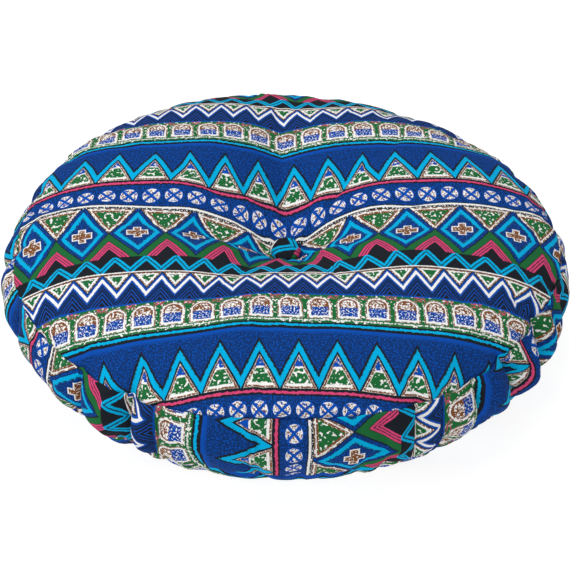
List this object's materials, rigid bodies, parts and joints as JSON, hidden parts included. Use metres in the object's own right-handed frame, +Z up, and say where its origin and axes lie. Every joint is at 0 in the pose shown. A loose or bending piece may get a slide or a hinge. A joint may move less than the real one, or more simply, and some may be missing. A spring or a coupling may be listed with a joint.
{
  "type": "round floor cushion",
  "caption": "Round floor cushion: two round panels, a gathered boxing strip and a covered tuft button sunk in the top, in an ethnic band print.",
  "frame": {"origin": "centre of the flat underside, where the cushion lies on the floor, straight below the tuft button", "axes": "+Z up through the tuft button, -Y towards the front of the picture, +X to its right"},
  "size_m": [0.5501, 0.55, 0.1444],
  "materials": {
    "cover_cloth": "matt printed plain-weave cotton, bands of zigzags, arches, triangles, discs and diamonds in royal blue, navy, teal, green, rose, brown, black and off-white",
    "button_cloth": "matt printed plain-weave cotton, mostly the print's black with teal zigzag lines and green"
  },
  "bodies": {
    "root": {"cushion": "cover_cloth", "tuft_button": "button_cloth"}
  },
  "joints": []
}
